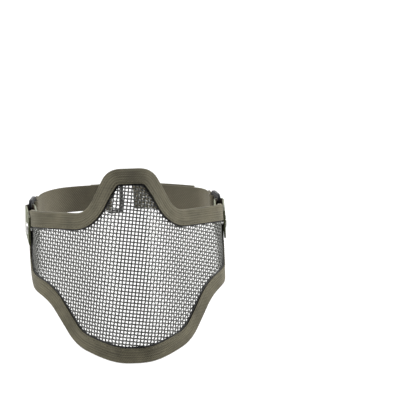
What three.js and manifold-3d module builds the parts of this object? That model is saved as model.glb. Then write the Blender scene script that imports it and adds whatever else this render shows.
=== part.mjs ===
// Half-face mesh mask: formed wire plate, bound edge, pivoting side tabs and a two-part rear strap.
// Millimetres. +X is the right side seen from the front, -Y is the front of the face, +Z is up.
// The origin is the centre of the wearer's head, level with the side rivets.
import * as THREE from "three";
import { mergeVertices } from "three/addons/utils/BufferGeometryUtils.js";
import Module from "manifold-3d";

// ---------------------------------------------------------------- driving dimensions
// Shape of the face: a plan curve followed round the cheeks, with a ridge for nose and mouth.
const FACE_FRONT = 104;            // plan curve in front of the head centre
const CHEEK_HEADING = 43;          // heading of the cheeks, degrees from straight across
const CHEEK_TURN = 44;             // length along the face over which that heading builds up
const SIDE_TURN = 38;              // further turn from the cheeks into the sides, degrees
const SIDE_START = 88;
const SIDE_END = 118;
const SLOW_TURN = 0.03;            // slight bow all the way to the wing ends, degrees per millimetre
const RIDGE_HALF_WIDTH = 19;       // nose and mouth ridge, half width at half height
const RIDGE_HEIGHT = 15;
const RIDGE_FADE_TOP = 60;         // height over which the ridge fades towards the nose bridge
const RIDGE_FADE_CHIN = 120;       // height over which the ridge fades towards the chin
const SETBACK_HALF_WIDTH = 50;
const CHIN_START = -62;            // below this height the chin curves back
const CHIN_CURVE = 0.0042;
const BRIDGE_START = 12;           // above this height the nose bridge curves back
const BRIDGE_CURVE = 0.006;

// Edge outline on the developed face: distance along the face, height, corner radius (right half).
const OUTLINE_RIGHT = [
  [17, 44.5, 9],
  [38.5, 8.5, 15],
  [147, 15.5, 19],
  [142, -33, 13],
  [121, -47, 12],
  [87, -61, 14],
  [55.5, -100, 13],
  [14, -114.5, 12],
];
const SPINE_HEIGHT = -20;          // middle line of the plate, from cheek to cheek
const SPINE_REACH = 114;
const RING_FRACTIONS = [0.3, 0.58, 0.85];  // inner rings of the plate, as parts of the way in
const STATIONS = 90;
const OUTLINE_PRECISION = 2000;
const PLAN_STEP = 0.5;
const PLAN_REACH = 170;

// Layers of the edge, measured from the middle of the wire plate.
const PLATE_HALF = 0.8;
const GUARD_INNER = 1.1;
const GUARD_OUTER = 1.7;
const BINDING_INNER = 2.0;
const BINDING_OUTER = 2.7;
const GUARD_REACH_OUTSIDE = 13;
const GUARD_REACH_INSIDE = 10.5;
const BINDING_REACH_OUTSIDE = 12;
const BINDING_REACH_INSIDE = 8;
const BEND_LINES = [0, 4, 8, 12];  // distances from the edge where every layer bends with the face
const EDGE_SHOULDER = 0.45;        // where a layer turns round the edge, as a part of its height

// Side tab: hook-and-loop tape folded round the rear edge of the wing.
const WEBBING_WIDTH = 25;
const TAB_TILT = 16;               // rear of the tab turned up about the rivet, degrees
const RIVET_ALONG = 128.5;
const TAB_INNER = 3.1;
const TAB_THICKNESS = 1.6;
const TAB_FRONT = 11;              // tape in front of the rivet
const TAB_BIGHT = 31;              // rivet to the middle of the fold
const RIVET_HOLE = 3.4;
const DRILL_LENGTH = 30;
const DRILL_SIDES = 16;
const EYELET_BORE = 2.4;
const EYELET_BARREL = 3.0;
const EYELET_FLANGE = 5.6;
const EYELET_FLANGE_THICKNESS = 0.8;
const EYELET_ROLL = 1.4;           // rolled inner end, beyond the barrel
const TURNED_SIDES = 18;
const WASHER_THICKNESS = 0.6;
const GAP = 0.3;

// Plastic hardware.
const BAR_WIDTH = 3.4;
const HARDWARE_THICKNESS = 2.4;
const TRIGLIDE_BAR_SPACING = 8.6;
const HARDWARE_INSIDE_HEIGHT = 27;
const HARDWARE_OUTSIDE_HEIGHT = 34;
const HARDWARE_CORNER = 4.5;
const SLOT_CORNER = 1;
const CORNER_SEGMENTS = 4;
const RING_BAR_SPACING = 13;
const TRIGLIDE_INWARD = 16;        // tri-glide turns in towards the back of the head, degrees

// Webbing straps.
const STRAP_THICKNESS = 1.6;
const LOOP_RADIUS = 3.2;           // middle of the webbing round a bar
const LOOP_NECK = 4.2;             // where a loop starts to close, from the middle of the bar
const LOOP_NECK_OFFSET = 2.3;
const LOOP_CLOSED = 9;             // where both layers lie together
const LOOP_ARC_START = 70;
const LOOP_ARC_STEP = 22;
const FLAP_LENGTH = 17;            // sewn-down end of a loop
const FLAP_GAP = 0.5;
const LEFT_STRAP_RUN = 47;         // curved part behind the front loop
const LEFT_STRAP_TURN = 62;
const LEFT_STRAP_END = 20;         // straighter part before the ring loop
const LEFT_END_TURN = 5;
const RIGHT_STRAP_RUN = 17;        // curved part in front of the folded tail
const RIGHT_STRAP_TURN = 46;
const TAIL_TURN = 14;
const TAIL_ALLOWANCE = 4;
const TAIL_FOLD_RADIUS = 2.6;
const FOLD_SLIT = 9;               // half of the slit between strap and flap at the fold, degrees
const TAIL_LENGTH = 58;
const PATCH_THICKNESS = 0.9;
const PATCH_START = 4;
const PATCH_END = 54;
const PATCH_HEIGHT = 23;
const STITCH_WIDTH = 3;
const STITCH_DEPTH = 0.5;
const STITCH_HEIGHT = 21;
const STITCH_FROM_END = 2;
const PEN_STEP = 9;                // longest step and turn along a curved ribbon
const PEN_TURN = 12;

const RADIANS = Math.PI / 180;

// ---------------------------------------------------------------- materials
const coated = (color, roughness, metalness) =>
  new THREE.MeshStandardMaterial({ color, roughness, metalness });
const wirePaint = () => coated(0x3c3e3b, 0.55, 0.4);
const blackTrim = () => coated(0x1c1c1b, 0.8, 0);
const oliveRibbon = () => coated(0x68634d, 0.9, 0);
const greenTape = () => coated(0x5b6340, 0.95, 0);
const khakiWebbing = () => coated(0x6b6450, 0.9, 0);
const blackPlastic = () => coated(0x1d1e20, 0.45, 0);
const silverMetal = () => coated(0xc9cac8, 0.3, 1);
const darkHook = () => coated(0x2a251f, 0.95, 0);
const thread = () => coated(0x575240, 0.9, 0);

const mask = new THREE.Group();
mask.name = "face_mask";

function addPart(name, geometry, material) {
  geometry.computeVertexNormals();
  const part = new THREE.Mesh(geometry, material);
  part.name = name;
  mask.add(part);
}

// ---------------------------------------------------------------- the formed face
const smoothStep = (value) => {
  const part = Math.min(1, Math.max(0, value));
  return part * part * (3 - 2 * part);
};

function headingAt(along) {
  const cheek = CHEEK_HEADING * smoothStep(along / CHEEK_TURN);
  const side = SIDE_TURN * smoothStep((along - SIDE_START) / (SIDE_END - SIDE_START));
  return (cheek + side + SLOW_TURN * along) * RADIANS;
}

// Plan curve by stepping along the heading.
const planCurve = [[0, 0]];
for (let step = 0; step < PLAN_REACH / PLAN_STEP; step += 1) {
  const heading = headingAt((step + 0.5) * PLAN_STEP);
  const [across, back] = planCurve[step];
  planCurve.push([across + PLAN_STEP * Math.cos(heading), back + PLAN_STEP * Math.sin(heading)]);
}

function planPoint(along) {
  const position = Math.min(Math.abs(along) / PLAN_STEP, planCurve.length - 1.001);
  const index = Math.floor(position);
  const blend = position - index;
  const [x0, y0] = planCurve[index];
  const [x1, y1] = planCurve[index + 1];
  return [Math.sign(along) * (x0 + blend * (x1 - x0)), y0 + blend * (y1 - y0)];
}

function ridgeHeight(height) {
  const fade = height > 0 ? height / RIDGE_FADE_TOP : height / RIDGE_FADE_CHIN;
  return RIDGE_HEIGHT * Math.exp(-fade * fade);
}

function setback(height) {
  const chin = Math.max(0, CHIN_START - height);
  const bridge = Math.max(0, height - BRIDGE_START);
  return CHIN_CURVE * chin * chin + BRIDGE_CURVE * bridge * bridge;
}

function facePoint(along, height) {
  const [x, y] = planPoint(along);
  const ridge = ridgeHeight(height) / (1 + (along / RIDGE_HALF_WIDTH) ** 4);
  const back = setback(height) * Math.exp(-((along / SETBACK_HALF_WIDTH) ** 2));
  return new THREE.Vector3(x, y - FACE_FRONT - ridge + back, height);
}

function faceNormal(along, height) {
  const reach = 1;
  const across = facePoint(along + reach, height).sub(facePoint(along - reach, height));
  const upward = facePoint(along, height + reach).sub(facePoint(along, height - reach));
  return across.cross(upward).normalize();
}

const offFace = (along, height, out) =>
  facePoint(along, height).addScaledVector(faceNormal(along, height), out);

// ---------------------------------------------------------------- the edge outline
// Straight runs joined by quadratic corners, walked into evenly spaced stations.
function roundedOutline(corners) {
  const path = new THREE.Path();
  corners.forEach(([x, y, radius], index) => {
    const before = corners[(index + corners.length - 1) % corners.length];
    const after = corners[(index + 1) % corners.length];
    const corner = new THREE.Vector2(x, y);
    const towards = (other) => new THREE.Vector2(other[0], other[1]).sub(corner).normalize();
    const start = corner.clone().addScaledVector(towards(before), radius);
    const end = corner.clone().addScaledVector(towards(after), radius);
    if (index === 0) {
      path.moveTo(start.x, start.y);
    } else {
      path.lineTo(start.x, start.y);
    }
    path.quadraticCurveTo(x, y, end.x, end.y);
  });
  path.closePath();
  return path;
}

const mirrored = [...OUTLINE_RIGHT].reverse().map(([x, y, radius]) => [-x, y, radius]);
const outline = roundedOutline([...OUTLINE_RIGHT, ...mirrored]);
outline.arcLengthDivisions = OUTLINE_PRECISION;
const stationPoints = outline.getSpacedPoints(STATIONS).slice(0, STATIONS);
const stationNormals = stationPoints.map((point, index) => {
  const before = stationPoints[(index + STATIONS - 1) % STATIONS];
  const after = stationPoints[(index + 1) % STATIONS];
  const tangent = after.clone().sub(before).normalize();
  return new THREE.Vector2(tangent.y, -tangent.x);
});

// Point on the developed face a distance in from the edge at one station.
function inFromEdge(index, distance) {
  return stationPoints[index].clone().addScaledVector(stationNormals[index], distance);
}

// ---------------------------------------------------------------- solids from sections
function solidFrom(vertices, faces) {
  const flat = vertices.flatMap((vertex) => [vertex.x, vertex.y, vertex.z]);
  let volume = 0;
  for (const [a, b, c] of faces) {
    volume += vertices[a].dot(vertices[b].clone().cross(vertices[c]));
  }
  const outward = volume > 0 ? faces : faces.map(([a, b, c]) => [a, c, b]);
  const geometry = new THREE.BufferGeometry();
  geometry.setAttribute("position", new THREE.Float32BufferAttribute(flat, 3));
  geometry.setIndex(outward.flat());
  return geometry;
}

// Sections of equal length joined in a row; a closed row needs no end caps.
function sweep(sections, closed) {
  const size = sections[0].length;
  const vertices = sections.flat();
  const faces = [];
  const spans = closed ? sections.length : sections.length - 1;
  for (let span = 0; span < spans; span += 1) {
    const here = span * size;
    const next = ((span + 1) % sections.length) * size;
    for (let side = 0; side < size; side += 1) {
      const other = (side + 1) % size;
      faces.push([here + side, here + other, next + other]);
      faces.push([here + side, next + other, next + side]);
    }
  }
  if (!closed) {
    const last = (sections.length - 1) * size;
    for (let side = 1; side < size - 1; side += 1) {
      faces.push([0, side + 1, side]);
      faces.push([last, last + side, last + side + 1]);
    }
  }
  return solidFrom(vertices, faces);
}

// ---------------------------------------------------------------- booleans
const manifoldModule = await Module();
manifoldModule.setup();

function toManifold(geometry) {
  const bare = geometry.clone();
  bare.deleteAttribute("normal");
  bare.deleteAttribute("uv");
  const welded = mergeVertices(bare, 1e-4);
  return new manifoldModule.Manifold(new manifoldModule.Mesh({
    numProp: 3,
    vertProperties: new Float32Array(welded.attributes.position.array),
    triVerts: new Uint32Array(welded.index.array),
  }));
}

function subtract(geometry, cutters) {
  let body = toManifold(geometry);
  for (const cutter of cutters) {
    body = body.subtract(toManifold(cutter));
  }
  const result = body.getMesh();
  const cut = new THREE.BufferGeometry();
  cut.setAttribute("position", new THREE.BufferAttribute(result.vertProperties, 3));
  cut.setIndex(new THREE.BufferAttribute(result.triVerts, 1));
  return cut;
}

// ---------------------------------------------------------------- side frames
// Local axes at each rivet: first to the rear along the wing, second outwards, third upwards.
// The tab and everything behind it hang from the rivet, turned up at the rear by the tab tilt.
function sideFrame(side) {
  const origin = facePoint(side * RIVET_ALONG, 0);
  const level = facePoint(side * (RIVET_ALONG + 1), 0).sub(facePoint(side * (RIVET_ALONG - 1), 0));
  level.setZ(0).normalize();
  const outward = new THREE.Vector3(side * level.y, -side * level.x, 0);
  const tilt = TAB_TILT * RADIANS;
  const vertical = new THREE.Vector3(0, 0, 1);
  const rear = level.clone().multiplyScalar(Math.cos(tilt)).addScaledVector(vertical, Math.sin(tilt));
  const up = vertical.clone().multiplyScalar(Math.cos(tilt)).addScaledVector(level, -Math.sin(tilt));
  return { origin, rear, outward, up };
}

const place = (frame, rear, out, up) =>
  frame.origin.clone()
    .addScaledVector(frame.rear, rear)
    .addScaledVector(frame.outward, out)
    .addScaledVector(frame.up, up);

// Geometry lying along the rivet axis (local Y), moved on to the wing.
function onRivetAxis(geometry, frame) {
  const turn = new THREE.Quaternion().setFromUnitVectors(new THREE.Vector3(0, 1, 0), frame.outward);
  return geometry.applyQuaternion(turn).translate(...frame.origin.toArray());
}

const sides = [["left", -1], ["right", 1]].map(([name, side]) => ({ name, ...sideFrame(side) }));
const rivetDrill = (frame) =>
  onRivetAxis(new THREE.CylinderGeometry(RIVET_HOLE, RIVET_HOLE, DRILL_LENGTH, DRILL_SIDES), frame);

// ---------------------------------------------------------------- wire plate
// Rings follow the edge inwards and close on the middle line of the face.
function facePlate() {
  const ringCount = BEND_LINES.length + RING_FRACTIONS.length;
  const ringPoints = (index) => {
    const inner = inFromEdge(index, BEND_LINES[BEND_LINES.length - 1]);
    const spine = new THREE.Vector2(
      Math.max(-SPINE_REACH, Math.min(SPINE_REACH, inner.x)), SPINE_HEIGHT);
    return [
      ...BEND_LINES.map((distance) => inFromEdge(index, distance)),
      ...RING_FRACTIONS.map((fraction) => inner.clone().lerp(spine, fraction)),
    ];
  };
  const flat = stationPoints.map((_, index) => ringPoints(index));
  const middle = flat.map((points) => points[ringCount - 1]);
  const layer = STATIONS * ringCount;
  const vertices = [];
  for (const out of [PLATE_HALF, -PLATE_HALF]) {
    flat.flat().forEach((point) => vertices.push(offFace(point.x, point.y, out)));
  }
  const faces = [];
  const both = (a, b, c) => {
    faces.push([a, b, c]);
    faces.push([layer + a, layer + c, layer + b]);
  };
  for (let index = 0; index < STATIONS; index += 1) {
    const here = index * ringCount;
    const next = ((index + 1) % STATIONS) * ringCount;
    for (let ring = 0; ring < ringCount - 1; ring += 1) {
      both(here + ring, next + ring, next + ring + 1);
      both(here + ring, next + ring + 1, here + ring + 1);
    }
    faces.push([here, layer + next, next]);
    faces.push([here, layer + here, layer + next]);
  }
  // Zip the upper and lower halves of the innermost ring together, from the right to the left end.
  const rightEnd = middle.reduce((best, point, index) => (point.x > middle[best].x ? index : best), 0);
  const leftEnd = middle.reduce((best, point, index) => (point.x < middle[best].x ? index : best), 0);
  const last = (index) => index * ringCount + ringCount - 1;
  let upper = rightEnd;
  let lower = rightEnd;
  while (upper !== leftEnd || lower !== leftEnd) {
    const nextUpper = (upper + STATIONS - 1) % STATIONS;
    const nextLower = (lower + 1) % STATIONS;
    const moveUpper = lower === leftEnd
      || (upper !== leftEnd && middle[nextUpper].x > middle[nextLower].x);
    if (moveUpper) {
      if (nextUpper !== lower) {
        both(last(nextUpper), last(upper), last(lower));
      }
      upper = nextUpper;
    } else {
      if (nextLower !== upper) {
        both(last(upper), last(lower), last(nextLower));
      }
      lower = nextLower;
    }
  }
  return subtract(solidFrom(vertices, faces), sides.map(rivetDrill));
}
addPart("face_mesh", facePlate(), wirePaint());

// ---------------------------------------------------------------- edge channel layers
function edgeChannel(inner, outer, reachOutside, reachInside) {
  const wall = outer - inner;
  const lip = inner - PLATE_HALF;
  const lines = (reach) => [...BEND_LINES.filter((line) => line < reach), reach];
  const outside = lines(reachOutside);
  const inside = lines(reachInside);
  const profile = [
    ...[...outside].reverse().map((reach) => [reach, outer]),
    [-lip - wall, outer * EDGE_SHOULDER],
    [-lip - wall, -outer * EDGE_SHOULDER],
    ...inside.map((reach) => [reach, -outer]),
    ...[...inside].reverse().map((reach) => [reach, -inner]),
    [-lip, -inner * EDGE_SHOULDER],
    [-lip, inner * EDGE_SHOULDER],
    ...outside.map((reach) => [reach, inner]),
  ];
  const sections = stationPoints.map((_, index) => profile.map(([distance, out]) => {
    const point = inFromEdge(index, distance);
    return offFace(point.x, point.y, out);
  }));
  return subtract(sweep(sections, true), sides.map(rivetDrill));
}
addPart("edge_guard",
  edgeChannel(GUARD_INNER, GUARD_OUTER, GUARD_REACH_OUTSIDE, GUARD_REACH_INSIDE), blackTrim());
addPart("edge_binding",
  edgeChannel(BINDING_INNER, BINDING_OUTER, BINDING_REACH_OUTSIDE, BINDING_REACH_INSIDE), oliveRibbon());

// ---------------------------------------------------------------- webbing beside the head
// Side planes use local coordinates: first to the rear along the wing, second outwards.
// A pen walks through that plane: straight runs and arcs given as [length, turn in degrees].
const heading2 = (angle) => new THREE.Vector2(Math.cos(angle * RADIANS), Math.sin(angle * RADIANS));

const near = (origin, angle, along, out) =>
  origin.clone().addScaledVector(heading2(angle), along).addScaledVector(heading2(angle + 90), out);

function penWalk(start, startAngle, moves) {
  const points = [start.clone()];
  let angle = startAngle;
  let position = start.clone();
  for (const [length, turn] of moves) {
    const steps = turn === 0 ? 1 : Math.ceil(Math.max(length / PEN_STEP, Math.abs(turn) / PEN_TURN));
    for (let step = 0; step < steps; step += 1) {
      angle += turn / steps / 2;
      position = position.clone().addScaledVector(heading2(angle), length / steps);
      points.push(position);
      angle += turn / steps / 2;
    }
  }
  return { points, angle, position };
}

// A ribbon standing on edge along a path in the side plane.
function sideRibbon(frame, path, thickness, height) {
  const sections = path.map((point, index) => {
    const before = path[Math.max(0, index - 1)];
    const after = path[Math.min(path.length - 1, index + 1)];
    const tangent = after.clone().sub(before).normalize();
    const side = new THREE.Vector2(-tangent.y, tangent.x).multiplyScalar(thickness / 2);
    const left = point.clone().add(side);
    const right = point.clone().sub(side);
    return [
      place(frame, left.x, left.y, -height / 2),
      place(frame, left.x, left.y, height / 2),
      place(frame, right.x, right.y, height / 2),
      place(frame, right.x, right.y, -height / 2),
    ];
  });
  return sweep(sections, false);
}

// Loop of webbing round a bar: from the end of the sewn flap, round the bar, to the main run.
const LAYER_OFFSET = (STRAP_THICKNESS + FLAP_GAP) / 2;

function loopRound(bar, angle) {
  const points = [near(bar, angle, FLAP_LENGTH, LAYER_OFFSET)];
  points.push(near(bar, angle, LOOP_CLOSED, LAYER_OFFSET));
  points.push(near(bar, angle, LOOP_NECK, LOOP_NECK_OFFSET));
  for (let turn = LOOP_ARC_START; turn < 360 - LOOP_ARC_START + LOOP_ARC_STEP / 2; turn += LOOP_ARC_STEP) {
    points.push(near(bar, angle + turn, LOOP_RADIUS, 0));
  }
  points.push(near(bar, angle, LOOP_NECK, -LOOP_NECK_OFFSET));
  points.push(near(bar, angle, LOOP_CLOSED, -LAYER_OFFSET));
  return points;
}

// Flat moulded frame standing in the plane of its bars, hung on its first bar.
function hardware(frame, bar, angle, spacing, bars) {
  const length = spacing * (bars - 1) + BAR_WIDTH;
  const rectangle = (target, x, y, width, height, radius) => {
    target.moveTo(x + radius, y);
    target.lineTo(x + width - radius, y);
    target.quadraticCurveTo(x + width, y, x + width, y + radius);
    target.lineTo(x + width, y + height - radius);
    target.quadraticCurveTo(x + width, y + height, x + width - radius, y + height);
    target.lineTo(x + radius, y + height);
    target.quadraticCurveTo(x, y + height, x, y + height - radius);
    target.lineTo(x, y + radius);
    target.quadraticCurveTo(x, y, x + radius, y);
    return target;
  };
  const shape = rectangle(new THREE.Shape(), -BAR_WIDTH / 2, -HARDWARE_OUTSIDE_HEIGHT / 2,
    length, HARDWARE_OUTSIDE_HEIGHT, HARDWARE_CORNER);
  for (let slot = 0; slot < bars - 1; slot += 1) {
    const hole = rectangle(new THREE.Path(), slot * spacing + BAR_WIDTH / 2, -HARDWARE_INSIDE_HEIGHT / 2,
      spacing - BAR_WIDTH, HARDWARE_INSIDE_HEIGHT, SLOT_CORNER);
    shape.holes.push(hole);
  }
  const options = { depth: HARDWARE_THICKNESS, bevelEnabled: false, curveSegments: CORNER_SEGMENTS };
  const plate = new THREE.ExtrudeGeometry(shape, options);
  plate.translate(0, 0, -HARDWARE_THICKNESS / 2);
  const direction = heading2(angle);
  const along = frame.rear.clone().multiplyScalar(direction.x).addScaledVector(frame.outward, direction.y);
  const basis = new THREE.Matrix4().makeBasis(along, frame.up, along.clone().cross(frame.up));
  basis.setPosition(place(frame, bar.x, bar.y, 0));
  return plate.applyMatrix4(basis);
}

// Bar tack: a narrow block of thread on the outside of a flap.
function barTack(frame, bar, angle, distance) {
  const out = LAYER_OFFSET + STRAP_THICKNESS / 2 + GAP + STITCH_DEPTH / 2;
  const path = [
    near(bar, angle, distance, out),
    near(bar, angle, distance + STITCH_WIDTH, out),
  ];
  return sideRibbon(frame, path, STITCH_DEPTH, STITCH_HEIGHT);
}
const TACK_DISTANCE = FLAP_LENGTH - STITCH_WIDTH - STITCH_FROM_END;

// ---------------------------------------------------------------- tabs, eyelets and tri-glides
const TAB_CENTRE = TAB_INNER + TAB_THICKNESS / 2;
const frontBar = new THREE.Vector2(TAB_BIGHT, 0);
const rearBar = near(frontBar, -TRIGLIDE_INWARD, 2 * TRIGLIDE_BAR_SPACING, 0);

for (const frame of sides) {
  const walk = penWalk(new THREE.Vector2(-TAB_FRONT, TAB_CENTRE), 0, [
    [TAB_FRONT + TAB_BIGHT, 0],
    [Math.PI * TAB_CENTRE, -180],
    [TAB_FRONT + TAB_BIGHT, 0],
  ]);
  const tab = sideRibbon(frame, walk.points, TAB_THICKNESS, WEBBING_WIDTH);
  addPart(`${frame.name}_tab`, subtract(tab, [rivetDrill(frame)]), greenTape());

  const leafFace = TAB_INNER + TAB_THICKNESS + GAP;
  const flangeFace = leafFace + EYELET_FLANGE_THICKNESS;
  const washerFace = -leafFace - WASHER_THICKNESS - GAP;
  const rolledEnd = washerFace - EYELET_FLANGE_THICKNESS;
  const eyeletProfile = [
    [EYELET_BORE, rolledEnd],
    [EYELET_BARREL + EYELET_ROLL, rolledEnd],
    [EYELET_BARREL + EYELET_ROLL, washerFace],
    [EYELET_BARREL, washerFace],
    [EYELET_BARREL, leafFace],
    [EYELET_FLANGE, leafFace],
    [EYELET_FLANGE, flangeFace],
    [EYELET_BORE, flangeFace],
    [EYELET_BORE, rolledEnd],
  ];
  const washerProfile = [
    [EYELET_BARREL + GAP, washerFace + GAP],
    [EYELET_FLANGE, washerFace + GAP],
    [EYELET_FLANGE, -leafFace],
    [EYELET_BARREL + GAP, -leafFace],
    [EYELET_BARREL + GAP, washerFace + GAP],
  ];
  const turned = (profile) => {
    const points = profile.map(([radius, height]) => new THREE.Vector2(radius, height));
    return onRivetAxis(new THREE.LatheGeometry(points, TURNED_SIDES), frame);
  };
  addPart(`${frame.name}_eyelet`, turned(eyeletProfile), silverMetal());
  addPart(`${frame.name}_eyelet_washer`, turned(washerProfile), silverMetal());

  addPart(`${frame.name}_triglide`,
    hardware(frame, frontBar, -TRIGLIDE_INWARD, TRIGLIDE_BAR_SPACING, 3), blackPlastic());
}

// ---------------------------------------------------------------- straps
const [leftFrame, rightFrame] = sides;
const strapStart = near(rearBar, -TRIGLIDE_INWARD, FLAP_LENGTH, -LAYER_OFFSET);

// Left strap: a sewn loop at each end, the rear one holding the ring.
const leftWalk = penWalk(strapStart, -TRIGLIDE_INWARD, [
  [LEFT_STRAP_RUN, -LEFT_STRAP_TURN],
  [LEFT_STRAP_END, -LEFT_END_TURN],
]);
const ringBar = near(leftWalk.position, leftWalk.angle, FLAP_LENGTH, LAYER_OFFSET);
const ringAngle = leftWalk.angle;
// Seen from the ring bar the strap runs back the way it came, so its outside is mirrored.
const rearLoop = loopRound(new THREE.Vector2(0, 0), 0).map((point) =>
  near(ringBar, ringAngle, -point.x, point.y));
const leftPath = [
  ...loopRound(rearBar, -TRIGLIDE_INWARD),
  ...leftWalk.points,
  ...rearLoop.reverse(),
];
addPart("left_strap", sideRibbon(leftFrame, leftPath, STRAP_THICKNESS, WEBBING_WIDTH), khakiWebbing());
addPart("left_strap_front_stitch", barTack(leftFrame, rearBar, -TRIGLIDE_INWARD, TACK_DISTANCE), thread());
addPart("left_strap_rear_stitch",
  barTack(leftFrame, ringBar, ringAngle, -TACK_DISTANCE - STITCH_WIDTH), thread());
addPart("strap_ring", hardware(leftFrame, ringBar, ringAngle, RING_BAR_SPACING, 2), blackPlastic());

// Right strap: a loop at the tri-glide, then a tail folded back on itself at the free end.
const TAIL_RUN = TAIL_LENGTH + TAIL_ALLOWANCE;
const rightWalk = penWalk(strapStart, -TRIGLIDE_INWARD, [
  [RIGHT_STRAP_RUN, -RIGHT_STRAP_TURN],
  [TAIL_RUN, -TAIL_TURN],
]);
const foldAngle = rightWalk.angle;
const tailRadius = TAIL_RUN / (TAIL_TURN * RADIANS);
const tailCentre = near(rightWalk.position, foldAngle, 0, -tailRadius);

// Spot beside the folded part of the strap: distance back from the fold and distance outwards.
const tailSpot = (fromFold, out) =>
  near(tailCentre, foldAngle + fromFold / tailRadius / RADIANS, 0, tailRadius + out);

function alongTail(from, to, out) {
  const steps = Math.ceil((to - from) / PEN_STEP);
  return Array.from({ length: steps + 1 }, (_, step) =>
    tailSpot(from + (to - from) * step / steps, out));
}

const foldPoint = (turn) => tailSpot(0, TAIL_FOLD_RADIUS).add(
  heading2(foldAngle + turn).multiplyScalar(TAIL_FOLD_RADIUS));
const lowerFold = [-60, -30, -FOLD_SLIT].map(foldPoint);
const upperFold = [FOLD_SLIT, 30, 60].map(foldPoint);
const rightPath = [...loopRound(rearBar, -TRIGLIDE_INWARD), ...rightWalk.points, ...lowerFold];
addPart("right_strap", sideRibbon(rightFrame, rightPath, STRAP_THICKNESS, WEBBING_WIDTH), khakiWebbing());
addPart("right_strap_stitch", barTack(rightFrame, rearBar, -TRIGLIDE_INWARD, TACK_DISTANCE), thread());

const tailPath = [...upperFold, ...alongTail(0, TAIL_LENGTH, 2 * TAIL_FOLD_RADIUS)];
addPart("tail_flap", sideRibbon(rightFrame, tailPath, STRAP_THICKNESS, WEBBING_WIDTH), khakiWebbing());

const hookOut = STRAP_THICKNESS / 2 + GAP + PATCH_THICKNESS / 2;
const loopOut = 2 * TAIL_FOLD_RADIUS - hookOut;
for (const [name, out] of [["hook_patch", hookOut], ["loop_patch", loopOut]]) {
  const path = alongTail(PATCH_START, PATCH_END, out);
  addPart(name, sideRibbon(rightFrame, path, PATCH_THICKNESS, PATCH_HEIGHT), darkHook());
}
const tackOut = 2 * TAIL_FOLD_RADIUS + STRAP_THICKNESS / 2 + GAP + STITCH_DEPTH / 2;
const tackEnd = TAIL_LENGTH - STITCH_FROM_END;
const tackPath = alongTail(tackEnd - STITCH_WIDTH, tackEnd, tackOut);
addPart("tail_stitch", sideRibbon(rightFrame, tackPath, STITCH_DEPTH, STITCH_HEIGHT), thread());

export default mask;
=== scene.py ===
# Half-face mesh mask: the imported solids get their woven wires, bound edge, webbing, thread and finishes.
import math

import bmesh
import bpy
import numpy as np
from mathutils import Matrix, Vector


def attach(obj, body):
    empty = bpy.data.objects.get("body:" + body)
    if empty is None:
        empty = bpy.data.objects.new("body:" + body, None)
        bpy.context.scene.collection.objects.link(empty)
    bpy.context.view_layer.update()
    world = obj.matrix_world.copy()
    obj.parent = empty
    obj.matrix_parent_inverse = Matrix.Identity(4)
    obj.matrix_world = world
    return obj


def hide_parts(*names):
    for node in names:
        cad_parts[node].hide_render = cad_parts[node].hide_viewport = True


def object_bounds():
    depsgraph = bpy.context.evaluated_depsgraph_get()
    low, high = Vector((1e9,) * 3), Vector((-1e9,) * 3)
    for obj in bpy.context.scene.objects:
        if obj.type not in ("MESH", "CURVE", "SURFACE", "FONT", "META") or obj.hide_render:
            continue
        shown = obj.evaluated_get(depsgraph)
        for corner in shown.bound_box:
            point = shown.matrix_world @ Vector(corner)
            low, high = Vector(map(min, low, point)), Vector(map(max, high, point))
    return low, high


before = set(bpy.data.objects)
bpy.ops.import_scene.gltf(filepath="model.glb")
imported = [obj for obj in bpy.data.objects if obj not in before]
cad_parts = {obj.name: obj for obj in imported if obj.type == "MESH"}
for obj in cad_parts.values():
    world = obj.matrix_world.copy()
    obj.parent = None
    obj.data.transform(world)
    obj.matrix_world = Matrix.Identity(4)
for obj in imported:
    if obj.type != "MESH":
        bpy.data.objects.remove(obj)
cad_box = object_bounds()

MM = 0.001

# ---------------------------------------------------------------- shape numbers, in millimetres
FACE_FRONT = 104
CHEEK_HEADING = math.radians(43)
CHEEK_TURN = 44
SIDE_TURN = math.radians(38)
SIDE_START = 88
SIDE_END = 118
SLOW_TURN = math.radians(0.03)    # for each millimetre along the face
RIDGE_HALF_WIDTH = 19
RIDGE_HEIGHT = 15
RIDGE_FADE_TOP = 60
RIDGE_FADE_CHIN = 120
SETBACK_HALF_WIDTH = 50
CHIN_START = -62
CHIN_CURVE = 0.0042
BRIDGE_START = 12
BRIDGE_CURVE = 0.006
PLAN_REACH = 170
PLAN_STEP = 0.5

# Edge outline on the developed face, right half: distance along the face, height, corner size.
OUTLINE_RIGHT = [
    (17, 44.5, 9),
    (38.5, 8.5, 15),
    (147, 15.5, 19),
    (142, -33, 13),
    (121, -47, 12),
    (87, -61, 14),
    (55.5, -100, 13),
    (14, -114.5, 12),
]
EDGE_STATIONS = 520

WIRE_RADIUS = 0.62
WIRE_PITCH = 2.95
WEAVE_LIFT = 0.53                # middle of a wire above or below the middle of the weave
WEAVE_TURN = math.radians(-8)    # the weave sits slightly turned in the face
WIRE_SIDES = 6
SAMPLES_PER_PITCH = 4
WIRE_INSET = 2.5                 # wires stop this far inside the edge, under the trim
WIRE_REACH = 175                 # wires are laid this far each way, then cut at the edge

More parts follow.
